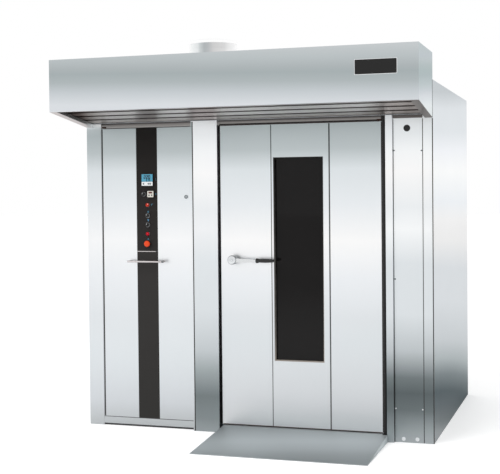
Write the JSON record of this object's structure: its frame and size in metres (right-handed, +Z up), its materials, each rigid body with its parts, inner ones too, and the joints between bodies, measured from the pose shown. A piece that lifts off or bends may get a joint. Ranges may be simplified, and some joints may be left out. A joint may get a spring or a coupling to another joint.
{
  "type": "rotating rack oven",
  "caption": "Insulated bakery oven with a swinging windowed door, a service door with controls, a steam hood, a loading ramp and a turning rack carrier inside.",
  "frame": {"origin": "on the floor, under the centre of the body without hood and ramp", "axes": "+X to the right seen from the front, +Y to the back, +Z up; the doors face -Y"},
  "size_m": [2.2, 2.258, 2.359],
  "materials": {
    "casing_steel": "satin",
    "hood_steel": "satin",
    "door_steel": "satin",
    "chamber_steel": "satin",
    "floor_steel": "matte",
    "polished_steel": "polished",
    "black_steel": "satin",
    "motor_paint": "satin",
    "cast_iron": "matte",
    "heating_rod_steel": "matte",
    "mineral_wool": "matte",
    "seal_rubber": "matte",
    "grip_plastic": "matte",
    "instrument_plastic": "satin",
    "switch_plastic": "satin",
    "contactor_plastic": "matte",
    "pilot_plastic": "gloss",
    "stop_plastic": "gloss",
    "window_glass": "polished"
  },
  "bodies": {
    "root": {"base_tray": "floor_steel", "ramp": "floor_steel", "left_side_panel": "casing_steel", "right_side_panel": "casing_steel", "rear_panel": "casing_steel", "roof_panel": "casing_steel", "left_post": "casing_steel", "middle_pillar": "casing_steel", "latch_keeper": "polished_steel", "right_post": "casing_steel", "right_front_panel": "casing_steel", "front_header": "casing_steel", "kick_plate": "casing_steel", "door_bearings": "black_steel", "chamber_floor": "chamber_steel", "chamber_right_wall": "chamber_steel", "chamber_rear_wall": "chamber_steel", "chamber_ceiling": "chamber_steel", "heat_space_wall": "chamber_steel", "air_duct_wall": "chamber_steel", "supply_duct": "chamber_steel", "door_frame": "chamber_steel", "frame_gasket": "seal_rubber", "insulation": "mineral_wool", "service_partition": "chamber_steel", "contactors": "contactor_plastic", "heater_bank": "heating_rod_steel", "steam_cascade": "cast_iron", "fan_inlet_plate": "chamber_steel", "fan_motor": "motor_paint", "rotation_bearing": "motor_paint", "rotation_gearmotor": "motor_paint", "vent_pipe": "chamber_steel", "hood_shell": "hood_steel", "hood_slats": "hood_steel", "hood_spigot": "hood_steel"},
    "oven_door": {"door_pan": "door_steel", "door_skins": "door_steel", "window_panel": "door_steel", "door_glass": "window_glass", "hinge_tube": "black_steel", "handle_rosette": "polished_steel"},
    "lever": {"door_lever": "polished_steel", "lever_grip": "grip_plastic"},
    "service_door": {"service_door_pan": "door_steel", "service_door_skins": "door_steel", "control_strip": "black_steel", "bar_handle": "polished_steel", "temperature_controller": "instrument_plastic", "timer": "instrument_plastic", "pilot_lights": "pilot_plastic", "switch_bodies": "switch_plastic"},
    "lock": {"service_lock": "polished_steel"},
    "timer_dial": {"timer_knob": "switch_plastic"},
    "upper_dial": {"selector_upper": "switch_plastic"},
    "lower_dial": {"selector_lower": "switch_plastic"},
    "stop_button": {"emergency_stop": "stop_plastic"},
    "carrier": {"rack_carrier": "chamber_steel"},
    "fan": {"fan_wheel": "chamber_steel"},
    "damper": {"vent_damper": "chamber_steel"}
  },
  "joints": [
    {"name": "oven_door_hinge", "type": "hinge", "parent": "root", "child": "oven_door", "pos_m": [0.814, -0.83, 0.028], "axis": [0, 0, 1], "range_deg": [0, 120]},
    {"name": "lever_turn", "type": "hinge", "parent": "oven_door", "child": "lever", "pos_m": [-0.116, -0.873, 1.06], "axis": [0, 1, 0], "range_deg": [0, 90]},
    {"name": "service_door_hinge", "type": "hinge", "parent": "root", "child": "service_door", "pos_m": [-0.988, -0.819, 0.058], "axis": [0, 0, -1], "range_deg": [0, 110]},
    {"name": "lock_turn", "type": "hinge", "parent": "service_door", "child": "lock", "pos_m": [-0.426, -0.825, 1.449], "axis": [0, 1, 0], "range_deg": [0, 90]},
    {"name": "timer_dial_turn", "type": "hinge", "parent": "service_door", "child": "timer_dial", "pos_m": [-0.711, -0.825, 1.468], "axis": [0, 1, 0], "range_deg": [0, 270]},
    {"name": "upper_selector_turn", "type": "hinge", "parent": "service_door", "child": "upper_dial", "pos_m": [-0.685, -0.825, 1.333], "axis": [0, 1, 0], "range_deg": [-45, 45]},
    {"name": "lower_selector_turn", "type": "hinge", "parent": "service_door", "child": "lower_dial", "pos_m": [-0.685, -0.825, 1.275], "axis": [0, 1, 0], "range_deg": [-45, 45]},
    {"name": "stop_push", "type": "slide", "parent": "service_door", "child": "stop_button", "axis": [0, 1, 0], "range_m": [0, 0.006]},
    {"name": "rack_rotation", "type": "hinge", "parent": "root", "child": "carrier", "pos_m": [0.301, -0.039, 1.9], "axis": [0, 0, 1], "continuous": true},
    {"name": "fan_rotation", "type": "hinge", "parent": "root", "child": "fan", "pos_m": [-0.661, 0.0605, 1.79], "axis": [0, 0, 1], "continuous": true},
    {"name": "damper_turn", "type": "hinge", "parent": "root", "child": "damper", "pos_m": [0.72, 0.43, 2.215], "axis": [1, 0, 0], "range_deg": [0, 90]}
  ]
}
